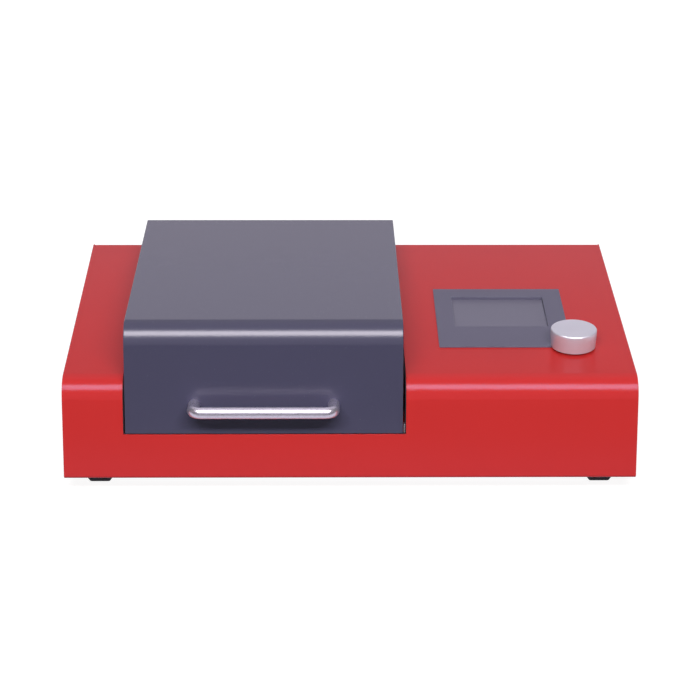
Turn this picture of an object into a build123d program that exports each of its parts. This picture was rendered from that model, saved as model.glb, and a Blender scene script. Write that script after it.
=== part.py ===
from build123d import *

import os
from math import atan, cos, degrees, radians, sin, tan

os.makedirs("parts", exist_ok=True)

# Console body: lengths in millimetres, angles in degrees
width = 500
depth = 325
corner_height = 104
front_lean = 6
top_slope = 4.2
bend_radius = 20
toe_height = 17.3
toe_length = 22
toe_radius = 2.5
edge_radius = 0.8
wall = 1.5
foot_height = 10

# Clearances
sheet_gap = 0.3
screw_gap = 0.1
run_gap = 0.05
slide_gap = 0.15

# Lid and the notch that it sits in
lid_top = 153
lid_inset = 54.2
controls_width = 204.5
lid_bottom = 57.4
lid_left_gap = 1.6
lid_right_gap = 2.8
lid_floor_gap = 1
lid_bend_radius = 19
lid_rear_radius = 3
lid_flange = 13
cheek_setback = 2
rear_wall_height = 27.2
split_gap = 0.8

# Bow handle
rod_diameter = 10
handle_spacing = 121
handle_reach = 27
handle_bend = 8
handle_height = 83.4
handle_screw_diameter = 5
handle_screw_length = 12

# Hinges
hinge_inset = 45.85
hinge_width = 50
middle_length = 25
hinge_leaf_height = 21
leaf_thickness = 2
knuckle_radius = 5
knuckle_gap = 0.4
pin_radius = 2.5
hinge_screw_inset = 10
hinge_screw_drop = 6

# Magnets, buffers and switch on the deck, behind the lid's front edge
deck_spot_inset = 9
magnet_inset = 30.85
magnet_radius = 4
magnet_height = 3
buffer_inset = 15.85
buffer_radius = 3
switch_inset = 50.85
switch_length = 20
switch_width = 8
switch_height = 6
lid_magnet_inset = 8
lid_magnet_radius = 2.5
lid_magnet_height = 2.5

# Chamber
chamber_side_inset = 20.85
chamber_front_inset = 30
chamber_rear_inset = 42
tub_wall = 1.5
tub_ledge = 9
rim_width = 10
glass_thickness = 4
gasket_height = 4
gasket_width = 6
gasket_offset = 1
glass_corner = 2
liner_wall = 1.2
lamp_room = 19
liner_ledge = 18
lid_glass_thickness = 3
glass_overlap = 7
board_thickness = 1.6
lamp_size = 3.5
lamp_height = 2
lamp_columns = 7
lamp_rows = 9
lamp_margin = 14
lower_lamp_gap = 5
lid_lamp_gap = 0.8
board_margin = 2
sink_margin = 4
sink_base = 4
fin_thickness = 2
fin_count = 13
liner_post_radius = 3.5

# Control panel
panel_inset = 51.3
panel_width = 118.6
panel_front = 69.7
panel_length = 130.3
panel_thickness = 1.2
panel_corner = 1
window_inset = 16.2
window_width = 85.1
window_rise = 44.4
window_length = 67
window_collar = 1
screen_thickness = 4
screen_border = 6
display_board_drop = 9
display_post_inset = 9
display_board_margin = 5
display_frame_inset = 5

# Knob and encoder
knob_out = 0.7
knob_rise = 0.2
knob_diameter = 41
knob_foot_diameter = 39.4
knob_height = 16.6
knob_gap = 1
knob_round = 1.5
knob_taper_height = 12
knob_cap = 3
knob_recess_radius = 10
knob_recess_depth = 5.5
shaft_radius = 3
bush_radius = 4.5
bush_height = 4.2
nut_across = 12
nut_height = 2
encoder_size = 14
encoder_wall = 1.4
encoder_cover = 1.2
plunger_thickness = 1.6
push_travel = 0.6
stub_radius = 2
stub_end = 1
set_screw_drop = 5
set_screw_sink = 3

# Feet and the flanges of the housing
foot_width = 21.6
foot_tip_width = 18
foot_bevel = 2.6
foot_corner = 2
foot_side_gap = 6.6
foot_end_gap = 1
spigot_radius = 6
foot_seat_radius = 5
foot_seat_depth = 6
side_flange = 14
front_flange = 35.5
pan_flange = 15
pan_setback = 3
slot_width = 4
slot_length = 40
slot_pitch = 14
slot_columns = 6
slot_rows = 3
rear_slot_pitch = 12
rear_slot_count = 11

# Screws
small_screw = 1.5
panel_screw = 2
head_ratio = 1.85
head_height_ratio = 1.2
socket_ratio = 0.85
short_screw = 6
panel_screw_length = 7
fan_screw_length = 10
screw_end = 2
base_screw_front = 90
base_screw_middle = 170
base_screw_back = 20
front_screw_inset = 150
flange_screw_inset = 5
rear_screw_low = 32
rear_screw_drop = 14
rear_screw_inset = 53
rear_screw_count = 4

# Cooling fan
fan_size = 60
fan_depth = 25
fan_rim = 1.5
fan_inset = 145
fan_z = 74
fan_screw_inset = 5
fan_hub = 13
fan_blades = 7
blade_thickness = 1.5
blade_pitch = 35
spindle_radius = 1.5
fan_wall = 2.5
guard_rod = 1.8
guard_rings = 3
guard_tab = 4.5
stator_depth = 4
stator_arm = 3
rotor_gap = 0.5
blade_gap = 1
blade_share = 0.85
fan_corner = 3

# Power inlet module
inlet_inset = 45
inlet_low = 34
inlet_lip = 3
inlet_side_lip = 1.6
inlet_side_wall = 1.2
inlet_web = 4.7
inlet_depth = 29
inlet_flange = 3
socket_width = 24.4
socket_height = 16.8
socket_depth = 17
blade_length = 14
drawer_width = 22
drawer_height = 9
drawer_depth = 24
drawer_lip = 1
finger_notch = (6, 2, 1.5)
fuse_radius = 2.5
fuse_length = 18
fuse_inset = 3
blade_section = (2, 4)
blade_places = ((0, 4.2), (-7, 0.2), (7, 0.2))
socket_corner = 4
inlet_chamfer = 0.8
rocker_width = 19
rocker_half = 6.2
rocker_crown = 5
rocker_tilt = 10
rocker_room = 1.4
pivot_radius = 1
pivot_depth = 2.5
pivot_end = 2
pocket_depth = 8
rocker_dip = 1.2
rocker_heel = 3

# Nitrogen line
gas_gap = 2.7
nozzle_lift = 1.5
nozzle_nut_gap = 0.6
port_radius = 4.4
port_length = 9
port_body_radius = 7
port_reach = 12
port_nut_across = 17
port_nut_height = 4
port_inner_length = 18
port_chamfer = 0.6
tube_radius = 3
tube_bore = 2
valve_size = 26
valve_length = 40
valve_top = 62
valve_cover = 7
valve_coil_radius = 10
valve_from_back = 120
nozzle_radius = 3.5
nozzle_nut_across = 10
nozzle_nut_height = 4
nozzle_end = 4

# Electronics on the base pan
supply_width = 99
supply_length = 160
supply_height = 30
supply_inset = 93
case_chamfer = 1
supply_front = 60
vent_size = (3, 18, 2)
vent_pitch = (8, 24)
vent_count = (9, 5)
driver_width = 66
driver_length = 90
driver_height = 24
driver_inset = 12
driver_gap = 5
driver_chamfer = 2
control_width = 66
control_length = 110
control_inset = 12
control_front = 42
post_height = 8
post_radius = 2.5
post_inset = 4
chip_size = (18, 18, 2.2)
terminal_size = (44, 9, 12)
terminal_shift = -38
capacitor_size = (5, 14)
capacitor_shift = 34
capacitor_pitch = 13

# Where the front face and the top lie, seen from the side
handle_out = (
    handle_reach * cos(radians(front_lean))
    + rod_diameter / 2
    - (handle_height - foot_height) * tan(radians(front_lean))
)
rear_out = port_reach
y_front = handle_out - (handle_out + depth + rear_out) / 2
y_back = y_front + depth


def face_y(z):
    """Where the leaning front face stands at the height z."""
    return y_front + (z - foot_height) * tan(radians(front_lean))


corner_y = face_y(corner_height)
floor_z = foot_height + wall
pan_z = floor_z + wall
right_side = width / 2
inner_half = right_side - wall
lid_left = lid_inset - right_side
lid_right = right_side - controls_width
lid_width = lid_right - lid_left
lid_centre_x = (lid_left + lid_right) / 2
split_height = lid_top - rear_wall_height


def top_z(y):
    """How high the sloping top is at the depth y."""
    return corner_height + (y - corner_y) * tan(radians(top_slope))


top_plane = Plane(
    origin=(0, corner_y, corner_height),
    x_dir=(1, 0, 0),
    z_dir=(0, -sin(radians(top_slope)), cos(radians(top_slope))),
)
face_plane = Plane(
    origin=(lid_centre_x, face_y(handle_height), handle_height),
    x_dir=(1, 0, 0),
    z_dir=(0, -cos(radians(front_lean)), sin(radians(front_lean))),
)
notch_left = lid_left - lid_left_gap
notch_right = lid_right + lid_right_gap
deck_z = lid_bottom - lid_floor_gap
panel_top = top_z(y_back) - wall - 2 * sheet_gap
chamber_front = y_front + chamber_front_inset
chamber_back = y_back - chamber_rear_inset
chamber_length = chamber_back - chamber_front
chamber_y = (chamber_front + chamber_back) / 2
chamber_width = lid_width - 2 * chamber_side_inset
gas_z = deck_z - wall - nozzle_nut_gap - nozzle_nut_across / (2 * cos(radians(30)))
glass_seat_z = gas_z - nozzle_radius - nozzle_lift - glass_thickness
tub_floor_height = glass_seat_z - tub_wall
gas_x = side_flange + port_nut_across / (2 * cos(radians(30))) + gas_gap - inner_half
fan_x = right_side - fan_inset
fan_pitch = fan_size - 2 * fan_screw_inset
fan_bore = fan_size / 2 - fan_rim
inlet_x = right_side - inlet_inset
panel_left = right_side - panel_inset - panel_width
window_left = panel_left + window_inset
window_front = panel_front + window_rise
knob_x = panel_left + panel_width + knob_out
knob_up = panel_front + knob_rise
knob_lift = panel_thickness + knob_gap
supply_left = right_side - supply_inset - supply_width
driver_left = right_side - driver_inset - driver_width
control_left = right_side - control_inset - control_width


def facing(normal, spots):
    """One location for each spot, its Z axis along the normal."""
    return [Plane(origin=spot, z_dir=normal).location for spot in spots]


def drill(radius, places, depth=6 * wall):
    """Round holes of one radius through whatever lies at the places."""
    with Locations(*places):
        Cylinder(radius, depth, mode=Mode.SUBTRACT)


def pan_screw(radius, length):
    """A pan head screw with a hexagon socket, its seat at the origin and its thread down -Z."""
    head = radius * head_ratio
    height = radius * head_height_ratio
    with BuildPart() as screw:
        Cylinder(radius, length, align=(Align.CENTER, Align.CENTER, Align.MAX))
        Cylinder(head, height, align=(Align.CENTER, Align.CENTER, Align.MIN))
        fillet(screw.edges().filter_by(GeomType.CIRCLE).sort_by(Axis.Z)[-1], height / 3)
        with BuildSketch(Plane.XY.offset(height)):
            RegularPolygon(radius * socket_ratio, 6)
        extrude(amount=-height / 2, mode=Mode.SUBTRACT)
    return screw.part


def hex_nut(across, height, bore):
    """A hexagon nut standing on the origin."""
    with BuildPart() as nut:
        with BuildSketch():
            RegularPolygon(across / 2, 6, major_radius=False)
            Circle(bore, mode=Mode.SUBTRACT)
        extrude(amount=height)
    return nut.part


def block(x, y, z, mode=Mode.ADD):
    """A box between pairs of lowest and highest coordinates."""
    with Locations(((x[0] + x[1]) / 2, (y[0] + y[1]) / 2, (z[0] + z[1]) / 2)):
        Box(x[1] - x[0], y[1] - y[0], z[1] - z[0], mode=mode)


def finish(piece, name):
    """Label the piece and write it to its file."""
    piece.part.label = name
    export_step(piece.part, f"parts/{name}.step")


# Side view of the console, outside and inside the sheet
with BuildSketch(Plane.YZ) as outer_outline:
    with BuildLine():
        Polyline(
            (y_front + toe_length, foot_height),
            (face_y(toe_height), toe_height),
            (corner_y, corner_height),
            (y_back, top_z(y_back)),
            (y_back, foot_height),
            close=True,
        )
    make_face()
    fillet(outer_outline.vertices().sort_by(Axis.X)[1], bend_radius)
    fillet(outer_outline.vertices().sort_by(Axis.X)[0], toe_radius)

with BuildSketch(Plane.YZ) as inner_outline:
    add(outer_outline.sketch_local)
    offset(amount=-wall, kind=Kind.INTERSECTION, mode=Mode.REPLACE)

# Screw places shared by the pieces that they join
foot_end_inset = front_flange + spigot_radius + foot_end_gap
foot_spots = [
    (side * (inner_half - side_flange - spigot_radius - foot_side_gap), y)
    for side in (-1, 1)
    for y in (y_front + foot_end_inset, y_back - foot_end_inset)
]
flange_x = inner_half - side_flange / 2
base_rows = (y_front + base_screw_front, y_front + base_screw_middle, y_back - base_screw_back)
base_spots = [(side * flange_x, y) for side in (-1, 1) for y in base_rows]
base_spots += [
    (side * (right_side - front_screw_inset), y_front + front_flange - flange_screw_inset)
    for side in (-1, 1)
]
side_spots = [
    (side * flange_x, z) for side in (-1, 1) for z in (rear_screw_low, panel_top - rear_screw_drop)
]
sill_reach = inner_half - side_flange - wall - rear_screw_inset
sill_pitch = 2 * sill_reach / (rear_screw_count - 1)
sill_spots = [
    (number * sill_pitch - sill_reach, pan_z + pan_flange / 2) for number in range(rear_screw_count)
]
hinge_spins = [lid_left + hinge_inset, lid_right - hinge_inset]
hinge_spots = [
    spin + shift * (hinge_width / 2 - hinge_screw_inset) for spin in hinge_spins for shift in (-1, 1)
]
hinge_screw_height = hinge_leaf_height - hinge_screw_drop
fan_spots = [(fan_x + i * fan_pitch / 2, fan_z + k * fan_pitch / 2) for i in (-1, 1) for k in (-1, 1)]
spot_y = face_y(deck_z) + deck_spot_inset
magnet_spots = [(x, spot_y) for x in (lid_left + magnet_inset, lid_right - magnet_inset)]
buffer_spots = [(x, spot_y) for x in (lid_left + buffer_inset, lid_right - buffer_inset)]
window_middle = (window_left + window_width / 2, window_front + window_length / 2)
window_rim = window_collar + sheet_gap
post_spots = [
    (
        window_middle[0] + i * (window_width / 2 + display_post_inset),
        window_middle[1] + k * (window_length / 2 + display_post_inset),
    )
    for i in (-1, 1)
    for k in (-1, 1)
]

# Red housing: top, front, sides, the walls and deck of the notch, and inward flanges
with BuildPart() as housing_shell:
    with BuildSketch(Plane.YZ.offset(-width / 2)):
        add(outer_outline.sketch_local)
    extrude(amount=width)
    fillet(housing_shell.faces().filter_by(Axis.X).edges(), edge_radius)
    with BuildSketch(Plane.YZ.offset(-inner_half)):
        add(inner_outline.sketch_local)
    extrude(amount=2 * inner_half, mode=Mode.SUBTRACT)
    with BuildSketch(Plane.YZ.offset(notch_left - wall)):
        add(outer_outline.sketch_local)
    extrude(amount=notch_right - notch_left + 2 * wall)
    block(
        (notch_left, notch_right),
        (y_front - bend_radius, y_back + bend_radius),
        (deck_z, lid_top),
        mode=Mode.SUBTRACT,
    )
    with BuildSketch(Plane.YZ.offset(notch_left - 2 * wall)):
        add(inner_outline.sketch_local)
        with Locations((0, deck_z - wall)):
            Rectangle(2 * depth, lid_top, align=(Align.CENTER, Align.MIN), mode=Mode.SUBTRACT)
    extrude(amount=notch_right - notch_left + 4 * wall, mode=Mode.SUBTRACT)
    block(
        (-inner_half + side_flange, inner_half - side_flange),
        (y_front + front_flange, y_back + wall),
        (0, floor_z),
        mode=Mode.SUBTRACT,
    )
    block(
        (-inner_half, inner_half),
        (y_back - wall, y_back + wall),
        (floor_z, lid_top),
        mode=Mode.SUBTRACT,
    )
    for side in (-1, 1):
        block(
            tuple(sorted((side * inner_half, side * (inner_half - side_flange)))),
            (y_back - 2 * wall, y_back - wall),
            (pan_z + sheet_gap, top_z(y_back) - 4 * wall),
        )
    block(
        (lid_centre_x - chamber_width / 2 - sheet_gap, lid_centre_x + chamber_width / 2 + sheet_gap),
        (chamber_front - sheet_gap, chamber_back + sheet_gap),
        (deck_z - 2 * wall, deck_z + wall),
        mode=Mode.SUBTRACT,
    )
    with BuildSketch(top_plane):
        with Locations(window_middle):
            Rectangle(window_width + 2 * window_rim, window_length + 2 * window_rim)
    extrude(amount=4 * wall, both=True, mode=Mode.SUBTRACT)
    drill(bush_radius + screw_gap, [top_plane.location * Location((knob_x, knob_up, 0))])
    drill(small_screw + screw_gap, facing((0, 0, 1), [(x, y, foot_height) for x, y in base_spots]))
    drill(
        panel_screw + screw_gap,
        facing((0, 1, 0), [(x, y_back - wall, z) for x, z in side_spots]),
    )
    drill(magnet_radius + screw_gap, facing((0, 0, 1), [(x, y, deck_z) for x, y in magnet_spots]))
finish(housing_shell, "housing_shell")

# Galvanised base pan with a rear flange, and air slots under the lamps and the supply
with BuildPart() as base_pan:
    pan_back = y_back - wall - sheet_gap
    pan_left = -inner_half + sheet_gap
    block((pan_left, -pan_left), (y_front + bend_radius + pan_setback, pan_back), (floor_z, pan_z))
    block(
        (pan_left + side_flange + wall, -pan_left - side_flange - wall),
        (pan_back - wall, pan_back),
        (floor_z, pan_z + pan_flange),
    )
    with Locations((lid_centre_x, chamber_y, pan_z), (supply_left + supply_width / 2, chamber_y, pan_z)):
        with GridLocations(slot_pitch, slot_length + slot_pitch, slot_columns, slot_rows):
            Box(slot_width, slot_length, 4 * wall, mode=Mode.SUBTRACT)
    drill(panel_screw + screw_gap, facing((0, 0, 1), [(x, y, floor_z) for x, y in foot_spots]))
    drill(small_screw + screw_gap, facing((0, 0, 1), [(x, y, floor_z) for x, y in base_spots]))
    drill(
        panel_screw + screw_gap,
        facing((0, 1, 0), [(x, pan_back, z) for x, z in sill_spots]),
    )
finish(base_pan, "base_pan")

# Power inlet heights, from the bottom up: socket, fuse drawer, rocker, with webs between them
pocket_half = rocker_half + rocker_room
socket_z = inlet_low + inlet_web + socket_height / 2
drawer_z = socket_z + socket_height / 2 + inlet_web + slide_gap + drawer_height / 2
rocker_z = drawer_z + drawer_height / 2 + slide_gap + inlet_web + pocket_half
inlet_body_height = rocker_z + pocket_half + inlet_web - inlet_low
inlet_body_width = socket_width + 2 * inlet_side_wall
inlet_height = inlet_body_height + 2 * inlet_lip
inlet_width = inlet_body_width + 2 * inlet_side_lip
inlet_z = inlet_low + inlet_body_height / 2

# Rear panel with the fan opening, the inlet opening, the gas port hole and air slots
with BuildPart() as rear_panel:
    panel_levels = (
        (-inner_half + sheet_gap, notch_left, panel_top),
        (notch_left, notch_right, split_height - split_gap),
        (notch_right, inner_half - sheet_gap, panel_top),
    )
    for low_x, high_x, high_z in panel_levels:
        block((low_x, high_x), (y_back - wall, y_back), (floor_z + sheet_gap, high_z))
    drill(fan_bore, facing((0, 1, 0), [(fan_x, y_back, fan_z)]))
    drill(panel_screw + screw_gap, facing((0, 1, 0), [(x, y_back, z) for x, z in fan_spots]))
    drill(panel_screw + screw_gap, facing((0, 1, 0), [(x, y_back, z) for x, z in side_spots + sill_spots]))
    drill(
        panel_screw + screw_gap,
        facing((0, 1, 0), [(x, y_back, split_height - hinge_screw_height) for x in hinge_spots]),
    )
    drill(port_body_radius + screw_gap, facing((0, 1, 0), [(gas_x, y_back, gas_z)]))
    with Locations((inlet_x, y_back, inlet_z)):
        Box(
            inlet_body_width + 2 * sheet_gap,
            4 * wall,
            inlet_body_height + 2 * sheet_gap,
            mode=Mode.SUBTRACT,
        )
    with Locations((lid_centre_x, y_back, gas_z)):
        with GridLocations(rear_slot_pitch, 1, rear_slot_count, 1):
            Box(slot_width, 4 * wall, slot_length / 2, mode=Mode.SUBTRACT)
finish(rear_panel, "rear_panel")

# Rubber feet: square with a bevelled tip, a spigot up to the pan and a sunk screw seat
foot_flare = (foot_width - foot_tip_width) / 2
with BuildPart() as rubber_feet:
    with BuildSketch():
        with Locations(*foot_spots):
            RectangleRounded(foot_tip_width, foot_tip_width, foot_corner)
    extrude(amount=foot_bevel, taper=-degrees(atan(foot_flare / foot_bevel)))
    with BuildSketch(Plane.XY.offset(foot_bevel)):
        with Locations(*foot_spots):
            RectangleRounded(foot_width, foot_width, foot_corner + foot_flare)
    extrude(amount=foot_height - foot_bevel)
    with BuildSketch():
        with Locations(*foot_spots):
            Circle(spigot_radius)
    extrude(amount=floor_z)
    with BuildSketch():
        with Locations(*foot_spots):
            Circle(panel_screw + screw_gap)
    extrude(amount=floor_z, mode=Mode.SUBTRACT)
    with BuildSketch():
        with Locations(*foot_spots):
            Circle(foot_seat_radius)
    extrude(amount=foot_seat_depth, mode=Mode.SUBTRACT)
finish(rubber_feet, "rubber_feet")

with BuildPart() as foot_screws:
    with Locations(*facing((0, 0, -1), [(x, y, foot_seat_depth) for x, y in foot_spots])):
        add(pan_screw(panel_screw, pan_z - foot_seat_depth + screw_end))
finish(foot_screws, "foot_screws")

with BuildPart() as base_screws:
    with Locations(*facing((0, 0, -1), [(x, y, foot_height) for x, y in base_spots])):
        add(pan_screw(small_screw, short_screw))
finish(base_screws, "base_screws")

with BuildPart() as rear_panel_screws:
    with Locations(*facing((0, 1, 0), [(x, y_back, z) for x, z in side_spots + sill_spots])):
        add(pan_screw(panel_screw, panel_screw_length))
finish(rear_panel_screws, "rear_panel_screws")

# Chamber tub: polished sheet with a rim on the deck and a ledge under the glass
half_chamber = chamber_width / 2
rim_z = deck_z + tub_wall
with BuildPart() as chamber_tub:
    block(
        (lid_centre_x - half_chamber - rim_width, lid_centre_x + half_chamber + rim_width),
        (chamber_front - rim_width, chamber_back + rim_width),
        (deck_z, rim_z),
    )
    block(
        (lid_centre_x - half_chamber, lid_centre_x + half_chamber),
        (chamber_front, chamber_back),
        (tub_floor_height, rim_z),
    )
    block(
        (lid_centre_x - half_chamber + tub_wall, lid_centre_x + half_chamber - tub_wall),
        (chamber_front + tub_wall, chamber_back - tub_wall),
        (tub_floor_height + tub_wall, rim_z + tub_wall),
        mode=Mode.SUBTRACT,
    )
    block(
        (
            lid_centre_x - half_chamber + tub_wall + tub_ledge,
            lid_centre_x + half_chamber - tub_wall - tub_ledge,
        ),
        (chamber_front + tub_wall + tub_ledge, chamber_back - tub_wall - tub_ledge),
        (tub_floor_height - tub_wall, rim_z + tub_wall),
        mode=Mode.SUBTRACT,
    )
    drill(
        nozzle_radius + screw_gap,
        facing((1, 0, 0), [(lid_centre_x - half_chamber, y_back - valve_from_back, gas_z)]),
        depth=4 * tub_wall,
    )
finish(chamber_tub, "chamber_tub")

# Silicone gasket: a ring on the rim, under the lower edge of the liner
gasket_middle = half_chamber + gasket_offset
with BuildPart() as chamber_gasket:
    with BuildSketch(Plane(origin=(lid_centre_x, chamber_y, rim_z))):
        RectangleRounded(
            2 * gasket_middle + gasket_width,
            chamber_length + 2 * gasket_offset + gasket_width,
            gasket_width,
        )
        RectangleRounded(
            2 * gasket_middle - gasket_width,
            chamber_length + 2 * gasket_offset - gasket_width,
            gasket_width / 2,
            mode=Mode.SUBTRACT,
        )
    extrude(amount=gasket_height)
    fillet(chamber_gasket.faces().sort_by(Axis.Z)[-1].edges(), gasket_width / 4)
finish(chamber_gasket, "chamber_gasket")

with BuildPart() as glass_plate:
    plate_x = half_chamber - tub_wall - sheet_gap
    plate_y = (chamber_front + tub_wall + sheet_gap, chamber_back - tub_wall - sheet_gap)
    block(
        (lid_centre_x - plate_x, lid_centre_x + plate_x),
        plate_y,
        (glass_seat_z, glass_seat_z + glass_thickness),
    )
    chamfer(glass_plate.edges().filter_by(Axis.Z), glass_corner)
finish(glass_plate, "glass_plate")

# Lower lamps: finned heat sink on the pan, board on the sink, lamps on the board
sink_x = half_chamber - tub_ledge - tub_wall - sink_margin
sink_y = chamber_length / 2 - tub_ledge - tub_wall - sink_margin
sink_top = tub_floor_height - board_thickness - lamp_height - lower_lamp_gap


def lamp_pitches(half_x, half_y):
    """How far apart the lamps stand on a board, along X and along Y."""
    return (
        2 * (half_x - lamp_margin) / (lamp_columns - 1),
        2 * (half_y - lamp_margin) / (lamp_rows - 1),
    )


with BuildPart() as lower_heat_sink:
    block(
        (lid_centre_x - sink_x, lid_centre_x + sink_x),
        (chamber_y - sink_y, chamber_y + sink_y),
        (sink_top - sink_base, sink_top),
    )
    with Locations((lid_centre_x, chamber_y, (pan_z + sink_top - sink_base) / 2)):
        with GridLocations((2 * sink_x - fin_thickness) / (fin_count - 1), 1, fin_count, 1):
            Box(fin_thickness, 2 * sink_y, sink_top - sink_base - pan_z)
finish(lower_heat_sink, "lower_heat_sink")

with BuildPart() as lower_lamp_board:
    block(
        (lid_centre_x - sink_x + board_margin, lid_centre_x + sink_x - board_margin),
        (chamber_y - sink_y + board_margin, chamber_y + sink_y - board_margin),
        (sink_top, sink_top + board_thickness),
    )
finish(lower_lamp_board, "lower_lamp_board")

with BuildPart() as lower_lamps:
    with Locations((lid_centre_x, chamber_y, sink_top + board_thickness + lamp_height / 2)):
        with GridLocations(*lamp_pitches(sink_x, sink_y), lamp_columns, lamp_rows):
            Box(lamp_size, lamp_size, lamp_height)
finish(lower_lamps, "lower_lamps")

# Rubber buffers and magnets on the deck, near the front corners of the lid
with BuildPart() as lid_buffers:
    with Locations(*[(x, y, deck_z) for x, y in buffer_spots]):
        Cylinder(
            buffer_radius,
            lid_floor_gap - sheet_gap,
            align=(Align.CENTER, Align.CENTER, Align.MIN),
        )
finish(lid_buffers, "lid_buffers")

with BuildPart() as catch_magnets:
    with Locations(*[(x, y, deck_z) for x, y in magnet_spots]):
        Cylinder(magnet_radius, magnet_height, align=(Align.CENTER, Align.CENTER, Align.MAX))
finish(catch_magnets, "catch_magnets")

switch_x = lid_right - switch_inset
with BuildPart() as interlock_switch:
    block(
        (switch_x - switch_length / 2, switch_x + switch_length / 2),
        (spot_y - switch_width / 2, spot_y + switch_width / 2),
        (deck_z - wall - switch_height, deck_z - wall),
    )
finish(interlock_switch, "interlock_switch")

# Lid: a bent hood with welded cheeks, a return flange in front and a short rear wall
lid_step = 2 * wall + cheek_setback
rear_lip = split_height + split_gap
with BuildSketch(Plane.YZ) as lid_outline:
    with BuildLine():
        Polyline(
            (face_y(lid_bottom), lid_bottom),
            (face_y(lid_top), lid_top),
            (y_back, lid_top),
            (y_back, rear_lip),
            (y_back - lid_step, rear_lip),
            (y_back - lid_step, lid_bottom),
            close=True,
        )
    make_face()
    fillet(lid_outline.vertices().group_by(Axis.Y)[-1].sort_by(Axis.X)[0], lid_bend_radius)
    fillet(lid_outline.vertices().group_by(Axis.Y)[-1].sort_by(Axis.X)[-1], lid_rear_radius)

with BuildPart() as lid_shell:
    with BuildSketch(Plane.YZ.offset(lid_left)):
        add(lid_outline.sketch_local)
    extrude(amount=lid_width)
    cheek_edges = lid_shell.faces().filter_by(Axis.X).edges()
    fillet(cheek_edges.filter_by(lambda edge: edge.center().Z > rear_lip + wall), edge_radius)
    with BuildSketch(Plane.YZ.offset(lid_left + wall)):
        add(lid_outline.sketch_local)
        offset(amount=-wall, kind=Kind.INTERSECTION, mode=Mode.REPLACE)
        with Locations((face_y(lid_bottom) + lid_flange, lid_bottom - wall)):
            Rectangle(
                y_back - wall - face_y(lid_bottom) - lid_flange,
                rear_lip + 3 * wall - lid_bottom,
                align=(Align.MIN, Align.MIN),
            )
    extrude(amount=lid_width - 2 * wall, mode=Mode.SUBTRACT)
    handle_holes = [
        face_plane.location * Location((side * handle_spacing / 2, 0, 0)) for side in (-1, 1)
    ]
    drill(handle_screw_diameter / 2 + screw_gap, handle_holes)
    drill(
        panel_screw + screw_gap,
        facing((0, 1, 0), [(x, y_back, split_height + hinge_screw_height) for x in hinge_spots]),
    )
finish(lid_shell, "lid_shell")

# Bow handle: one bent rod, tapped at both ends, and its two screws from inside
with BuildPart() as handle:
    bow_plane = Plane(
        origin=face_plane.origin, x_dir=(1, 0, 0), z_dir=face_plane.z_dir.cross(Vector(1, 0, 0))
    )
    with BuildLine(bow_plane) as bow:
        half = handle_spacing / 2
        foot_point = bow_plane.to_local_coords(face_plane.origin + face_plane.z_dir * handle_reach)
        reach = foot_point.Y
        FilletPolyline((-half, 0), (-half, reach), (half, reach), (half, 0), radius=handle_bend)
    with BuildSketch(Plane(origin=bow.line @ 0, z_dir=bow.line % 0)):
        Circle(rod_diameter / 2)
    sweep()
    drill(handle_screw_diameter / 2, handle_holes, depth=2 * handle_screw_length)
finish(handle, "handle")

with BuildPart() as handle_screws:
    inside = [spot * Location((0, 0, -wall), (180, 0, 0)) for spot in handle_holes]
    with Locations(*inside):
        add(pan_screw(handle_screw_diameter / 2, handle_screw_length))
finish(handle_screws, "handle_screws")

# Liner: the polished reflector that closes on the gasket, open below, with a window above
liner_bottom = rim_z + gasket_height + sheet_gap
liner_top = lid_top - lamp_room
with BuildPart() as lid_liner:
    block(
        (lid_centre_x - half_chamber, lid_centre_x + half_chamber),
        (chamber_front, chamber_back),
        (liner_bottom, liner_top + liner_wall),
    )
    block(
        (lid_centre_x - half_chamber + liner_wall, lid_centre_x + half_chamber - liner_wall),
        (chamber_front + liner_wall, chamber_back - liner_wall),
        (liner_bottom - liner_wall, liner_top),
        mode=Mode.SUBTRACT,
    )
    block(
        (lid_centre_x - half_chamber + liner_ledge, lid_centre_x + half_chamber - liner_ledge),
        (chamber_front + liner_ledge, chamber_back - liner_ledge),
        (liner_top - liner_wall, liner_top + 2 * liner_wall),
        mode=Mode.SUBTRACT,
    )
finish(lid_liner, "lid_liner")

lid_glass_x = half_chamber - liner_ledge + glass_overlap
lid_glass_y = chamber_length / 2 - liner_ledge + glass_overlap
glass_z = liner_top + liner_wall
with BuildPart() as lid_glass:
    block(
        (lid_centre_x - lid_glass_x, lid_centre_x + lid_glass_x),
        (chamber_y - lid_glass_y, chamber_y + lid_glass_y),
        (glass_z, glass_z + lid_glass_thickness),
    )
finish(lid_glass, "lid_glass")

# Upper lamps: the sink hangs under the lid's top, with the board and lamps under it
lid_ceiling = lid_top - wall
lamp_bottom = glass_z + lid_glass_thickness + lid_lamp_gap
lid_board_z = lamp_bottom + lamp_height
with BuildPart() as lid_heat_sink:
    block(
        (lid_centre_x - lid_glass_x, lid_centre_x + lid_glass_x),
        (chamber_y - lid_glass_y, chamber_y + lid_glass_y),
        (lid_board_z + board_thickness, lid_board_z + board_thickness + sink_base),
    )
    with Locations((lid_centre_x, chamber_y, lid_board_z + board_thickness + sink_base)):
        with GridLocations((2 * lid_glass_x - fin_thickness) / (fin_count - 1), 1, fin_count, 1):
            Box(
                fin_thickness,
                2 * lid_glass_y,
                lid_ceiling - lid_board_z - board_thickness - sink_base,
                align=(Align.CENTER, Align.CENTER, Align.MIN),
            )
finish(lid_heat_sink, "lid_heat_sink")

with BuildPart() as lid_lamp_board:
    block(
        (lid_centre_x - lid_glass_x + board_margin, lid_centre_x + lid_glass_x - board_margin),
        (chamber_y - lid_glass_y + board_margin, chamber_y + lid_glass_y - board_margin),
        (lid_board_z, lid_board_z + board_thickness),
    )
finish(lid_lamp_board, "lid_lamp_board")

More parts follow.
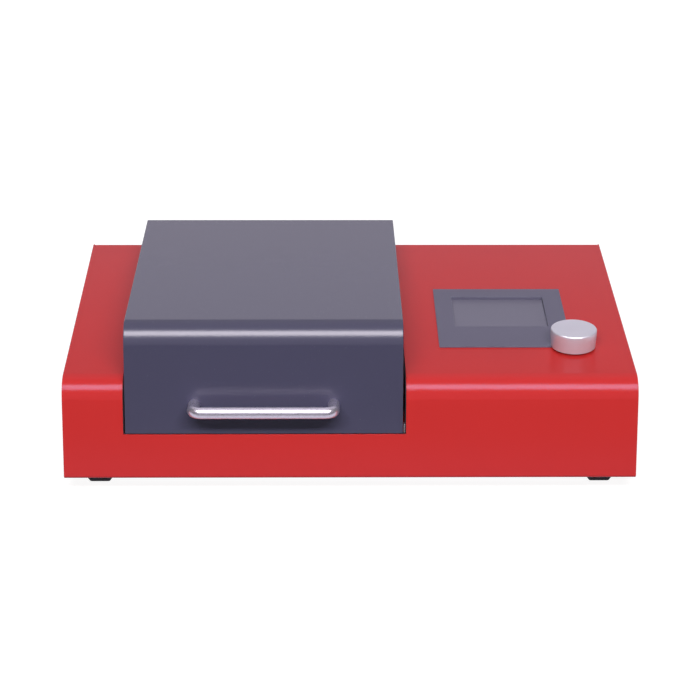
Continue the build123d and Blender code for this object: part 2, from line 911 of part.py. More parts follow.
with BuildPart() as lid_lamps:
    with Locations((lid_centre_x, chamber_y, lid_board_z - lamp_height / 2)):
        with GridLocations(*lamp_pitches(lid_glass_x, lid_glass_y), lamp_columns, lamp_rows):
            Box(lamp_size, lamp_size, lamp_height)
finish(lid_lamps, "lid_lamps")

# Posts that hang the liner from the lid's top, one at each corner of its ledge
liner_post_inset = (liner_ledge - glass_overlap + liner_wall) / 2
with BuildPart() as liner_posts:
    with Locations((lid_centre_x, chamber_y, glass_z)):
        with GridLocations(
            2 * (half_chamber - liner_post_inset), chamber_length - 2 * liner_post_inset, 2, 2
        ):
            Cylinder(
                liner_post_radius, lid_ceiling - glass_z, align=(Align.CENTER, Align.CENTER, Align.MIN)
            )
finish(liner_posts, "liner_posts")

flange_top = lid_bottom + wall
with BuildPart() as interlock_magnet:
    with Locations((switch_x, face_y(lid_bottom) + lid_magnet_inset, flange_top)):
        Cylinder(
            lid_magnet_radius, lid_magnet_height, align=(Align.CENTER, Align.CENTER, Align.MIN)
        )
finish(interlock_magnet, "interlock_magnet")

# Friction hinges: leaves flat on the rear panel and on the lid's rear wall, pins along X
axis_y = y_back + knuckle_radius + knuckle_gap
leaf_reach = knuckle_radius + 2 * knuckle_gap
middle_knuckle = [(-middle_length / 2 + knuckle_gap, middle_length / 2 - knuckle_gap)]
outer_knuckles = [(-hinge_width / 2, -middle_length / 2), (middle_length / 2, hinge_width / 2)]


def hinge_leaf(x, z_low, z_high, own, other, bore):
    """One leaf at x: a flat plate, cut back round the other leaf's knuckles, with its own ones bored."""
    block((x - hinge_width / 2, x + hinge_width / 2), (y_back, y_back + leaf_thickness), (z_low, z_high))
    for low, high in other:
        with Locations((x + (low + high) / 2, axis_y, split_height)):
            Cylinder(leaf_reach, high - low, rotation=(0, 90, 0), mode=Mode.SUBTRACT)
    for low, high in own:
        with Locations((x + (low + high) / 2, axis_y, split_height)):
            Cylinder(knuckle_radius, high - low, rotation=(0, 90, 0))
    with Locations((x, axis_y, split_height)):
        Cylinder(bore, 2 * hinge_width, rotation=(0, 90, 0), mode=Mode.SUBTRACT)


with BuildPart() as hinge_body_leaves:
    for x in hinge_spins:
        hinge_leaf(
            x,
            split_height - hinge_leaf_height,
            split_height - knuckle_gap,
            outer_knuckles,
            middle_knuckle,
            pin_radius,
        )
    drill(
        panel_screw + screw_gap,
        facing((0, 1, 0), [(x, y_back, split_height - hinge_screw_height) for x in hinge_spots]),
    )
finish(hinge_body_leaves, "hinge_body_leaves")

with BuildPart() as hinge_lid_leaves:
    for x in hinge_spins:
        hinge_leaf(
            x,
            split_height + knuckle_gap,
            split_height + hinge_leaf_height,
            middle_knuckle,
            outer_knuckles,
            pin_radius + run_gap,
        )
    drill(
        panel_screw + screw_gap,
        facing((0, 1, 0), [(x, y_back, split_height + hinge_screw_height) for x in hinge_spots]),
    )
finish(hinge_lid_leaves, "hinge_lid_leaves")

with BuildPart() as hinge_pins:
    with Locations(*[(x, axis_y, split_height) for x in hinge_spins]):
        Cylinder(pin_radius, hinge_width, rotation=(0, 90, 0))
finish(hinge_pins, "hinge_pins")

for name, level in (("hinge_body_screws", -1), ("hinge_lid_screws", 1)):
    with BuildPart() as leaf_screws:
        z = split_height + level * hinge_screw_height
        with Locations(*facing((0, 1, 0), [(x, y_back + leaf_thickness, z) for x in hinge_spots])):
            add(pan_screw(panel_screw, panel_screw_length))
    finish(leaf_screws, name)

# Display: front plate on the sheet with a collar through it, screen under it, board and posts behind
with BuildPart() as display_panel:
    with BuildSketch(top_plane):
        with Locations((panel_left + panel_width / 2, panel_front + panel_length / 2)):
            RectangleRounded(panel_width, panel_length, panel_corner)
        with Locations((window_left, window_front)):
            Rectangle(
                window_width, window_length, align=(Align.MIN, Align.MIN), mode=Mode.SUBTRACT
            )
        with Locations((knob_x, knob_up)):
            Circle(knob_recess_radius - panel_thickness, mode=Mode.SUBTRACT)
    extrude(amount=panel_thickness)
    with BuildSketch(top_plane):
        with Locations(window_middle):
            Rectangle(window_width + 2 * window_collar, window_length + 2 * window_collar)
            Rectangle(window_width, window_length, mode=Mode.SUBTRACT)
    extrude(amount=-wall)
finish(display_panel, "display_panel")

with BuildPart() as display_screen:
    with BuildSketch(top_plane.offset(-wall)):
        with Locations(window_middle):
            Rectangle(window_width + 2 * screen_border, window_length + 2 * screen_border)
    extrude(amount=-screen_thickness)
finish(display_screen, "display_screen")

with BuildPart() as display_board:
    with BuildSketch(top_plane.offset(-wall - display_board_drop)):
        with Locations(window_middle):
            Rectangle(
                window_width + 2 * (display_post_inset + display_board_margin),
                window_length + 2 * (display_post_inset + display_board_margin),
            )
    extrude(amount=-board_thickness)
    with BuildSketch(top_plane.offset(-wall - screen_thickness)):
        with Locations(window_middle):
            Rectangle(window_width - 2 * display_frame_inset, window_length - 2 * display_frame_inset)
    extrude(amount=screen_thickness - display_board_drop)
finish(display_board, "display_board")

with BuildPart() as display_posts:
    with BuildSketch(top_plane.offset(-wall)):
        with Locations(*post_spots):
            Circle(post_radius)
    extrude(amount=-display_board_drop)
finish(display_posts, "display_posts")

# Encoder: its centre line runs square to the sloping top, through the middle of the knob
knob_plane = Plane(
    origin=top_plane.from_local_coords((knob_x, knob_up, 0)), x_dir=(1, 0, 0), z_dir=top_plane.z_dir
)
room_top = -wall - encoder_cover
room_half = encoder_size / 2 - encoder_wall
plunger_top = room_top - slide_gap
plunger_bottom = plunger_top - plunger_thickness
room_bottom = plunger_bottom - stub_end - push_travel - slide_gap
with BuildPart() as encoder_body:
    with BuildSketch(knob_plane.offset(-wall)):
        Rectangle(encoder_size, encoder_size)
    extrude(amount=room_bottom - encoder_cover + wall)
    with BuildSketch(knob_plane.offset(-wall)):
        Circle(bush_radius)
    extrude(amount=wall + bush_height)
    with BuildSketch(knob_plane.offset(room_bottom)):
        Rectangle(2 * room_half, 2 * room_half)
    extrude(amount=room_top - room_bottom, mode=Mode.SUBTRACT)
    with BuildSketch(knob_plane.offset(room_top)):
        Circle(shaft_radius + run_gap)
    extrude(amount=bush_height - room_top, mode=Mode.SUBTRACT)
finish(encoder_body, "encoder_body")

with BuildPart() as encoder_nut:
    with Locations(knob_plane.location):
        add(hex_nut(nut_across, nut_height, bush_radius))
finish(encoder_nut, "encoder_nut")

with BuildPart() as encoder_plunger:
    with BuildSketch(knob_plane.offset(plunger_bottom)):
        Rectangle(2 * (room_half - slide_gap), 2 * (room_half - slide_gap))
        Circle(stub_radius + run_gap, mode=Mode.SUBTRACT)
    extrude(amount=plunger_thickness)
finish(encoder_plunger, "encoder_plunger")

knob_top = knob_lift + knob_height
with BuildPart() as encoder_shaft:
    with BuildSketch(knob_plane.offset(plunger_top + run_gap)):
        Circle(shaft_radius)
    extrude(amount=knob_top - knob_cap - plunger_top - run_gap)
    with BuildSketch(knob_plane.offset(plunger_bottom - stub_end)):
        Circle(stub_radius)
    extrude(amount=plunger_thickness + stub_end + run_gap)
finish(encoder_shaft, "encoder_shaft")

# Knob: turned aluminium, narrower at the foot, hollow below, with a radial set screw
screw_level = knob_top - set_screw_drop
with BuildPart() as knob:
    with BuildSketch(Plane(origin=knob_plane.origin, x_dir=(1, 0, 0), z_dir=knob_plane.y_dir * -1)):
        with BuildLine():
            Polyline(
                (shaft_radius, knob_lift + knob_recess_depth),
                (knob_recess_radius, knob_lift + knob_recess_depth),
                (knob_recess_radius, knob_lift),
                (knob_foot_diameter / 2, knob_lift),
                (knob_diameter / 2, knob_lift + knob_taper_height),
                (knob_diameter / 2, knob_top),
                (0, knob_top),
                (0, knob_top - knob_cap + run_gap),
                (shaft_radius, knob_top - knob_cap + run_gap),
                close=True,
            )
        make_face()
    revolve(axis=Axis(knob_plane.origin, knob_plane.z_dir))
    fillet(knob.edges().sort_by(Axis(knob_plane.origin, knob_plane.z_dir))[-1], knob_round)
    set_screw_plane = Plane(
        origin=knob_plane.from_local_coords((0, 0, screw_level)), z_dir=knob_plane.y_dir
    )
    with Locations(set_screw_plane.location):
        Cylinder(
            small_screw,
            knob_diameter,
            align=(Align.CENTER, Align.CENTER, Align.MIN),
            mode=Mode.SUBTRACT,
        )
finish(knob, "knob")

with BuildPart() as knob_set_screw:
    with BuildSketch(set_screw_plane.offset(shaft_radius)):
        Circle(small_screw)
    extrude(amount=knob_diameter / 2 - shaft_radius - set_screw_sink)
    with BuildSketch(set_screw_plane.offset(knob_diameter / 2 - set_screw_sink)):
        RegularPolygon(small_screw / 2, 6)
    extrude(amount=-small_screw, mode=Mode.SUBTRACT)
finish(knob_set_screw, "knob_set_screw")

# Cooling fan behind the rear panel: frame with a stator, rotor, wire guard and screws
fan_face = y_back - wall
fan_back = fan_face - fan_depth
fan_plane = Plane(origin=(fan_x, fan_back, fan_z), x_dir=(-1, 0, 0), z_dir=(0, 1, 0))
with BuildPart() as fan_frame:
    with BuildSketch(fan_plane):
        RectangleRounded(fan_size, fan_size, fan_corner)
        Circle(fan_bore, mode=Mode.SUBTRACT)
        with GridLocations(fan_pitch, fan_pitch, 2, 2):
            Circle(panel_screw, mode=Mode.SUBTRACT)
    extrude(amount=fan_depth)
    with BuildSketch(fan_plane):
        Circle(fan_hub)
        with PolarLocations(fan_bore / 2, 3):
            Rectangle(fan_bore + blade_gap, stator_arm)
        Circle(spindle_radius + run_gap, mode=Mode.SUBTRACT)
    extrude(amount=stator_depth)
finish(fan_frame, "fan_frame")

with BuildPart() as fan_rotor:
    rotor_low = stator_depth + rotor_gap
    rotor_high = fan_depth - fan_wall
    with BuildSketch(fan_plane.offset(rotor_low)):
        Circle(fan_hub)
    extrude(amount=rotor_high - rotor_low)
    blade_span = fan_bore - blade_gap - fan_hub
    blade_middle = fan_plane.offset((rotor_low + rotor_high) / 2)
    for number in range(fan_blades):
        turn = Location((0, 0, 0), (0, 0, number * 360 / fan_blades))
        pitch = Location((fan_hub + (blade_span - blade_gap) / 2, 0, 0), (blade_pitch, 0, 0))
        with Locations(blade_middle.location * turn * pitch):
            Box(blade_span + blade_gap, blade_thickness, (rotor_high - rotor_low) * blade_share)
    with BuildSketch(fan_plane.offset(rotor_gap)):
        Circle(spindle_radius)
    extrude(amount=rotor_low)
finish(fan_rotor, "fan_rotor")

ring_pitch = (fan_bore + guard_rod) / guard_rings
with BuildPart() as fan_guard:
    with BuildSketch(Plane(origin=(fan_x, y_back, fan_z), x_dir=(-1, 0, 0), z_dir=(0, 1, 0))):
        for number in range(1, guard_rings + 1):
            Circle(number * ring_pitch)
            Circle(number * ring_pitch - guard_rod, mode=Mode.SUBTRACT)
        with PolarLocations(0, 4, start_angle=45):
            with Locations((ring_pitch - guard_rod / 2, 0)):
                Rectangle(
                    fan_pitch * sin(radians(45)) - ring_pitch + guard_rod / 2,
                    guard_rod,
                    align=(Align.MIN, Align.CENTER),
                )
        with GridLocations(fan_pitch, fan_pitch, 2, 2):
            Circle(guard_tab)
        with GridLocations(fan_pitch, fan_pitch, 2, 2):
            Circle(panel_screw + screw_gap, mode=Mode.SUBTRACT)
    extrude(amount=guard_rod)
finish(fan_guard, "fan_guard")

with BuildPart() as fan_screws:
    with Locations(*facing((0, 1, 0), [(x, y_back + guard_rod, z) for x, z in fan_spots])):
        add(pan_screw(panel_screw, fan_screw_length))
finish(fan_screws, "fan_screws")

# Power inlet: one moulded module with a plug socket, a fuse drawer pocket and a switch pocket
inlet_face = y_back + inlet_flange
socket_plane = Plane(origin=(inlet_x, inlet_face, socket_z), x_dir=(-1, 0, 0), z_dir=(0, 1, 0))
drawer_plane = Plane(origin=(inlet_x, inlet_face, drawer_z), x_dir=(-1, 0, 0), z_dir=(0, 1, 0))
rocker_pivot_y = inlet_face - pivot_depth
with BuildPart() as power_inlet:
    block(
        (inlet_x - inlet_width / 2, inlet_x + inlet_width / 2),
        (y_back, inlet_face),
        (inlet_z - inlet_height / 2, inlet_z + inlet_height / 2),
    )
    chamfer(power_inlet.faces().sort_by(Axis.Y)[-1].edges(), inlet_chamfer)
    block(
        (inlet_x - inlet_body_width / 2, inlet_x + inlet_body_width / 2),
        (inlet_face - inlet_depth, y_back),
        (inlet_z - inlet_body_height / 2, inlet_z + inlet_body_height / 2),
    )
    with BuildSketch(socket_plane) as socket_mouth:
        Rectangle(socket_width, socket_height)
        chamfer(socket_mouth.vertices().group_by(Axis.Y)[-1], socket_corner)
    extrude(amount=-socket_depth, mode=Mode.SUBTRACT)
    with BuildSketch(drawer_plane):
        Rectangle(drawer_width + 2 * slide_gap, drawer_height + 2 * slide_gap)
    extrude(amount=-drawer_depth - slide_gap, mode=Mode.SUBTRACT)
    block(
        (inlet_x - rocker_width / 2 - slide_gap, inlet_x + rocker_width / 2 + slide_gap),
        (rocker_pivot_y - pocket_depth, inlet_face + wall),
        (rocker_z - pocket_half, rocker_z + pocket_half),
        mode=Mode.SUBTRACT,
    )
    with Locations((inlet_x, rocker_pivot_y, rocker_z)):
        Cylinder(pivot_radius, rocker_width + 2 * pivot_end, rotation=(0, 90, 0), mode=Mode.SUBTRACT)
finish(power_inlet, "power_inlet")

with BuildPart() as inlet_pins:
    with BuildSketch(socket_plane.offset(-socket_depth)):
        with Locations(*blade_places):
            Rectangle(*blade_section)
    extrude(amount=blade_length)
finish(inlet_pins, "inlet_pins")

with BuildPart() as fuse_drawer:
    with BuildSketch(drawer_plane.offset(drawer_lip)):
        Rectangle(drawer_width, drawer_height)
    extrude(amount=-drawer_depth - drawer_lip + slide_gap)
    with BuildSketch(drawer_plane.offset(drawer_lip)):
        with Locations((0, -(drawer_height - finger_notch[1]) / 2)):
            Rectangle(finger_notch[0], finger_notch[1])
    extrude(amount=-finger_notch[2], mode=Mode.SUBTRACT)
    block(
        (inlet_x - fuse_radius - slide_gap, inlet_x + fuse_radius + slide_gap),
        (inlet_face - drawer_depth + fuse_inset, inlet_face - drawer_depth + fuse_inset + fuse_length),
        (drawer_z - fuse_radius, drawer_z + drawer_height),
        mode=Mode.SUBTRACT,
    )
finish(fuse_drawer, "fuse_drawer")

with BuildPart() as fuse:
    with Locations((inlet_x, inlet_face - drawer_depth + fuse_inset + fuse_length / 2, drawer_z)):
        Cylinder(fuse_radius, fuse_length, rotation=(90, 0, 0))
finish(fuse, "fuse")

with BuildPart() as power_rocker:
    tilted = Plane(
        origin=(inlet_x - rocker_width / 2, rocker_pivot_y, rocker_z),
        x_dir=(0, cos(radians(rocker_tilt)), sin(radians(rocker_tilt))),
        z_dir=(1, 0, 0),
    )
    with BuildSketch(tilted):
        with BuildLine():
            Polyline(
                (rocker_crown, -rocker_half),
                (rocker_crown - rocker_dip, 0),
                (rocker_crown, rocker_half),
                (0, rocker_half),
                (-rocker_heel, rocker_heel),
                (-rocker_heel, -rocker_heel),
                (0, -rocker_half),
                close=True,
            )
        make_face()
    extrude(amount=rocker_width)
    with Locations((inlet_x, rocker_pivot_y, rocker_z)):
        Cylinder(pivot_radius - run_gap, rocker_width + 2 * pivot_end - slide_gap, rotation=(0, 90, 0))
finish(power_rocker, "power_rocker")

# Nitrogen line: threaded rear port, tube, valve, tube and the nozzle in the chamber wall
port_plane = Plane(origin=(gas_x, y_back, gas_z), x_dir=(-1, 0, 0), z_dir=(0, 1, 0))
port_inner = -port_inner_length
valve_y = y_back - valve_from_back
with BuildPart() as nitrogen_port:
    with BuildSketch(port_plane):
        RegularPolygon(port_nut_across / 2, 6, major_radius=False)
    extrude(amount=port_nut_height)
    with BuildSketch(port_plane.offset(port_inner)):
        Circle(port_body_radius)
    extrude(amount=port_reach - port_inner)
    with BuildSketch(port_plane.offset(port_reach)):
        Circle(port_radius)
    extrude(amount=-port_length, mode=Mode.SUBTRACT)
    with BuildSketch(port_plane.offset(port_inner)):
        Circle(tube_bore)
    extrude(amount=port_reach - port_inner, mode=Mode.SUBTRACT)
    chamfer(nitrogen_port.faces().sort_by(Axis.Y)[-1].edges(), port_chamfer)
finish(nitrogen_port, "nitrogen_port")

with BuildPart() as nitrogen_port_nut:
    with Locations(port_plane.offset(-wall - port_nut_height).location):
        add(hex_nut(port_nut_across, port_nut_height, port_body_radius))
finish(nitrogen_port_nut, "nitrogen_port_nut")

with BuildPart() as solenoid_valve:
    block(
        (gas_x - valve_size / 2, gas_x + valve_size / 2),
        (valve_y - valve_length / 2, valve_y + valve_length / 2),
        (pan_z, gas_z + valve_cover),
    )
    with Locations((gas_x, valve_y, gas_z + valve_cover)):
        Cylinder(
            valve_coil_radius,
            valve_top - gas_z - valve_cover,
            align=(Align.CENTER, Align.CENTER, Align.MIN),
        )
finish(solenoid_valve, "solenoid_valve")

with BuildPart() as nitrogen_inlet_tube:
    with BuildSketch(port_plane.offset(port_inner)):
        Circle(tube_radius)
        Circle(tube_bore, mode=Mode.SUBTRACT)
    extrude(amount=-(y_back + port_inner - valve_y - valve_length / 2))
finish(nitrogen_inlet_tube, "nitrogen_inlet_tube")

nozzle_x = lid_centre_x - half_chamber
nozzle_plane = Plane(origin=(nozzle_x, valve_y, gas_z), x_dir=(0, 1, 0), z_dir=(1, 0, 0))
with BuildPart() as chamber_nozzle:
    with Locations(nozzle_plane.offset(-nozzle_nut_height).location):
        add(hex_nut(nozzle_nut_across, nozzle_nut_height, tube_bore))
    with BuildSketch(nozzle_plane):
        Circle(nozzle_radius)
        Circle(tube_bore, mode=Mode.SUBTRACT)
    extrude(amount=tub_wall + nozzle_end)
finish(chamber_nozzle, "chamber_nozzle")

with BuildPart() as nitrogen_outlet_tube:
    with BuildSketch(nozzle_plane.offset(-nozzle_nut_height)):
        Circle(tube_radius)
        Circle(tube_bore, mode=Mode.SUBTRACT)
    extrude(amount=-(nozzle_x - nozzle_nut_height - gas_x - valve_size / 2))
finish(nitrogen_outlet_tube, "nitrogen_outlet_tube")

# Electronics on the pan: supply, lamp driver, and the controller on its posts
supply_y = y_front + supply_front
with BuildPart() as power_supply:
    block(
        (supply_left, supply_left + supply_width),
        (supply_y, supply_y + supply_length),
        (pan_z, pan_z + supply_height),
    )
    chamfer(power_supply.edges().filter_by(Axis.Z), case_chamfer)
    with Locations((supply_left + supply_width / 2, supply_y + supply_length / 2, pan_z + supply_height)):
        with GridLocations(*vent_pitch, *vent_count):
            Box(*vent_size, mode=Mode.SUBTRACT)
finish(power_supply, "power_supply")

driver_y = y_back - foot_end_inset - driver_gap - driver_length
with BuildPart() as lamp_driver:
    block(
        (driver_left, driver_left + driver_width),
        (driver_y, driver_y + driver_length),
        (pan_z, pan_z + driver_height),
    )
    chamfer(lamp_driver.edges().filter_by(Axis.Y), driver_chamfer)
finish(lamp_driver, "lamp_driver")

control_y = y_front + control_front
control_z = pan_z + post_height
component_z = control_z + board_thickness
control_middle = (control_left + control_width / 2, control_y + control_length / 2)
control_pitch = (control_width - 2 * post_inset, control_length - 2 * post_inset)
with BuildPart() as controller_board:
    block(
        (control_left, control_left + control_width),
        (control_y, control_y + control_length),
        (control_z, control_z + board_thickness),
    )
    with Locations((*control_middle, control_z)):
        with GridLocations(*control_pitch, 2, 2):
            Cylinder(small_screw, 4 * board_thickness, mode=Mode.SUBTRACT)
    with Locations((*control_middle, component_z)):
        Box(*chip_size, align=(Align.CENTER, Align.CENTER, Align.MIN))
    with Locations((control_middle[0], control_middle[1] + terminal_shift, component_z)):
        Box(*terminal_size, align=(Align.CENTER, Align.CENTER, Align.MIN))
    with Locations((control_middle[0], control_middle[1] + capacitor_shift, component_z)):
        with GridLocations(capacitor_pitch, 1, 3, 1):
            Cylinder(*capacitor_size, align=(Align.CENTER, Align.CENTER, Align.MIN))
finish(controller_board, "controller_board")

with BuildPart() as board_posts:
    with Locations((*control_middle, pan_z)):
        with GridLocations(*control_pitch, 2, 2):
            Cylinder(post_radius, post_height, align=(Align.CENTER, Align.CENTER, Align.MIN))
            Cylinder(
                small_screw,
                post_height + board_thickness + small_screw,
                align=(Align.CENTER, Align.CENTER, Align.MIN),
            )
finish(board_posts, "board_posts")
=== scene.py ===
from math import cos, pi, radians, sin

import bmesh
import bpy
from mathutils import Matrix, Vector


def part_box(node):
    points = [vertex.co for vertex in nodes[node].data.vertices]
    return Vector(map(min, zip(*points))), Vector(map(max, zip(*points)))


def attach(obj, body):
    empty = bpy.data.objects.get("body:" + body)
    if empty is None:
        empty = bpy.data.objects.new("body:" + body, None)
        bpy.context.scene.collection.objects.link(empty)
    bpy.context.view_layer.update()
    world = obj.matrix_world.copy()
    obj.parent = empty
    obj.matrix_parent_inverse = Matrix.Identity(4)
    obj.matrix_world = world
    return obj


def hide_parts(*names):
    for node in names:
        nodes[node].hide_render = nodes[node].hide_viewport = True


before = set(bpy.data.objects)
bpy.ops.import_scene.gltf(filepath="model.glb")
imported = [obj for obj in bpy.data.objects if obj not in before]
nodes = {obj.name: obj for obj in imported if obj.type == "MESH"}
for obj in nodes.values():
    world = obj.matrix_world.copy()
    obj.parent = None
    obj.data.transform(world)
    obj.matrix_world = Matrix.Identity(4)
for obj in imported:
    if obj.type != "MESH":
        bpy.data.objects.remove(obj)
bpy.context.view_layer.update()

scene = bpy.context.scene
scene.view_settings.view_transform = "Standard"

# Camera
# Stands two metres in front of the unit and 0.8 m above the bench, a little left of its middle, and
# looks down at it by twenty degrees through a long lens, with the camera a hair out of level.
camera_data = bpy.data.cameras.new("camera")
camera_data.lens = 118.685
camera_data.sensor_width = 36
camera = bpy.data.objects.new("camera", camera_data)
camera.location = (-0.02707, -2.00609, 0.82485)
look_down, look_right, tilt = radians(20.4098), radians(0.813), radians(0.2287)
turned = Matrix.Rotation(-look_right, 3, "Z") @ Matrix.Rotation(pi / 2 - look_down, 3, "X")
camera.rotation_euler = (turned @ Matrix.Rotation(tilt, 3, "Z")).to_euler()
scene.collection.objects.link(camera)
scene.camera = camera


# Studio
# The unit stands on a white sweep. A wide, low softbox in front gives the form and the handle's shadow,
# weak ones lift the top, the sides and the back, and a long strip draws the bright lines on the bends.
def put(tree, kind, settings=None, **wires):
    """Adds a shader node. A wire is a value or another node's socket, named with _ for a space."""
    made = tree.nodes.new("ShaderNode" + kind)
    for name, value in (settings or {}).items():
        setattr(made, name, value)
    for name, value in wires.items():
        key = int(name[1:]) if name[0] == "n" and name[1:].isdigit() else name.replace("_", " ")
        if isinstance(value, bpy.types.NodeSocket):
            tree.links.new(value, made.inputs[key])
        else:
            made.inputs[key].default_value = value
    return made


def maths(tree, operation, *values):
    """One sum on plain numbers or sockets."""
    wires = {f"n{i}": v for i, v in enumerate(values)}
    return put(tree, "Math", {"operation": operation}, **wires).outputs[0]


def eased(tree, value, start, end, low, high):
    """Goes softly from the level low to the level high while a value goes from start to end."""
    return put(tree, "MapRange", {"interpolation_type": "SMOOTHSTEP"}, Value=value, From_Min=start,
               From_Max=end, To_Min=low, To_Max=high).outputs[0]


def matt(tree, level):
    """A plain grey surface without any gloss."""
    return put(tree, "BsdfDiffuse", Color=(level, level, level, 1)).outputs[0]


def glow(tree, colour, level):
    """A surface that shines by itself."""
    return put(tree, "Emission", Color=colour, Strength=level).outputs[0]


def softbox(name, turn, lift, far, size, watts, gloss, colour=(1, 1, 1)):
    """A lamp that far from the unit, turned round it from the front and lifted by so many degrees.
    It shows in gloss alone, or else it lights the matt colours alone."""
    data = bpy.data.lights.new(name, "AREA")
    data.shape = "RECTANGLE"
    data.size, data.size_y = size
    data.energy = watts
    data.color = colour
    lamp = bpy.data.objects.new(name, data)
    turn, lift = radians(turn), radians(lift)
    aim = Vector((0, -0.13, 0.09))
    lamp.location = aim + far * Vector((sin(turn) * cos(lift), -cos(turn) * cos(lift), sin(lift)))
    lamp.rotation_euler = (aim - lamp.location).to_track_quat("-Z", "Y").to_euler()
    lamp.visible_camera = False
    lamp.visible_glossy = gloss
    lamp.visible_diffuse = not gloss
    scene.collection.objects.link(lamp)


softbox("key_box", turn=0, lift=38.4, far=2.6, size=(2.2, 0.32), watts=72.5, gloss=False)
softbox("top_box", turn=180, lift=62, far=2.4, size=(1.6, 0.8), watts=12, gloss=False)
softbox("left_box", turn=-90, lift=10, far=2.4, size=(1.2, 0.8), watts=10, gloss=False)
softbox("right_box", turn=90, lift=10, far=2.4, size=(1.2, 0.8), watts=10, gloss=False)
softbox("back_box", turn=180, lift=10, far=2.4, size=(1.6, 0.6), watts=22, gloss=False)
softbox("strip_lamp", turn=0, lift=56, far=2.4, size=(3.2, 1.05), watts=131, gloss=True,
        colour=(1, 0.94, 0.98))

world = bpy.data.worlds.new("sweep")
scene.world = world
world.use_nodes = True
sky = world.node_tree
sky.nodes.clear()
rays = put(sky, "LightPath")
heading = put(sky, "SeparateXYZ", Vector=put(sky, "TexCoord").outputs["Generated"])
aside = maths(sky, "ABSOLUTE", heading.outputs["X"])
sweep_low = eased(sky, heading.outputs["Y"], -0.4, 0.4, 0.62, 0.81)
sweep_mid = eased(sky, heading.outputs["Z"], 0.42, 0.5, sweep_low, 0.2)
sweep_high = eased(sky, heading.outputs["Z"], 0.52, 0.64, 0.0, 0.34)
sweep_side = eased(sky, aside, 0.2, 0.7, 1.0, 0.12)
sweep_gloss = maths(sky, "MULTIPLY", maths(sky, "ADD", sweep_mid, sweep_high), sweep_side)
sweep_light = 0.065
in_gloss = rays.outputs["Is Glossy Ray"]
gloss_level = maths(sky, "MULTIPLY", sweep_gloss, in_gloss)
light_level = maths(sky, "MULTIPLY", sweep_light, maths(sky, "SUBTRACT", 1.0, in_gloss))
seen = maths(sky, "MAXIMUM", rays.outputs["Is Camera Ray"], rays.outputs["Is Transmission Ray"])
sweep_level = maths(sky, "MAXIMUM", maths(sky, "ADD", gloss_level, light_level), seen)
white, violet = (1, 1, 1, 1), (1, 0.945, 1.07, 1)
sweep_tint = put(sky, "Mix", {"data_type": "RGBA"}, n0=in_gloss, n6=white, n7=violet)
backdrop = put(sky, "Background", Color=sweep_tint.outputs[2], Strength=sweep_level)
sky.links.new(backdrop.outputs[0], put(sky, "OutputWorld").inputs["Surface"])

floor_reach = 9
floor_corners = [(floor_reach * x, floor_reach * y, 0) for x, y in ((-1, -1), (1, -1), (1, 1), (-1, 1))]
floor_mesh = bpy.data.meshes.new("floor")
floor_mesh.from_pydata(floor_corners, [], [(0, 1, 2, 3)])
floor = bpy.data.objects.new("floor", floor_mesh)
scene.collection.objects.link(floor)
floor_white = bpy.data.materials.new("floor_white")
floor_white.use_nodes = True
tree = floor_white.node_tree
tree.nodes.clear()
rays = put(tree, "LightPath")
seen = maths(tree, "MAXIMUM", rays.outputs["Is Camera Ray"], rays.outputs["Is Transmission Ray"])
spot = put(tree, "TexCoord").outputs["Object"]
away = put(tree, "VectorMath", {"operation": "LENGTH"}, n0=spot).outputs["Value"]
floor_glow = eased(tree, away, 0.5, 1.6, 0.92, 1.0)
bright = put(tree, "AddShader", n0=glow(tree, white, floor_glow), n1=matt(tree, 0.2)).outputs[0]
toward_back = put(tree, "SeparateXYZ", Vector=spot).outputs["Y"]
floor_gloss = eased(tree, toward_back, -0.5, -0.24, 0.02, 0.76)
mirrored = put(tree, "AddShader", n0=glow(tree, violet, floor_gloss), n1=matt(tree, 0.04)).outputs[0]
unseen = put(tree, "MixShader", n0=rays.outputs["Is Glossy Ray"], n1=matt(tree, 0.28), n2=mirrored)
mixed = put(tree, "MixShader", n0=seen, n1=unseen.outputs[0], n2=bright)
tree.links.new(mixed.outputs[0], put(tree, "OutputMaterial").inputs["Surface"])
floor_mesh.materials.append(floor_white)


# Base pan
# Galvanised steel sheet, folded up at the back, with air slots and clearance holes punched in it.
# It closes the housing from below and carries everything that stands inside.
def tone(red, green, blue):
    """A colour given as it looks on a screen, 0 to 255, as the shaders take it."""
    linear = []
    for part in (red, green, blue):
        part /= 255
        linear.append(part / 12.92 if part <= 0.04045 else ((part + 0.055) / 1.055) ** 2.4)
    return (*linear, 1)


def group(name, takes, gives):
    """A shared finish effect: a shader node group with named inputs and outputs."""
    made = bpy.data.node_groups.new(name, "ShaderNodeTree")
    for label, value in takes.items():
        kind = {tuple: "NodeSocketColor", Vector: "NodeSocketVector"}.get(type(value), "NodeSocketFloat")
        socket = made.interface.new_socket(label, in_out="INPUT", socket_type=kind)
        socket.default_value = value
    for label, kind in gives.items():
        made.interface.new_socket(label, in_out="OUTPUT", socket_type="NodeSocket" + kind)
    return made, made.nodes.new("NodeGroupInput"), made.nodes.new("NodeGroupOutput")


def place(tree, shared, **wires):
    """Puts a shared effect into a material with that material's own values."""
    made = put(tree, "Group", {"node_tree": shared})
    for name, value in wires.items():
        socket = made.inputs[name.replace("_", " ")]
        if isinstance(value, bpy.types.NodeSocket):
            tree.links.new(value, socket)
        else:
            socket.default_value = value
    return made


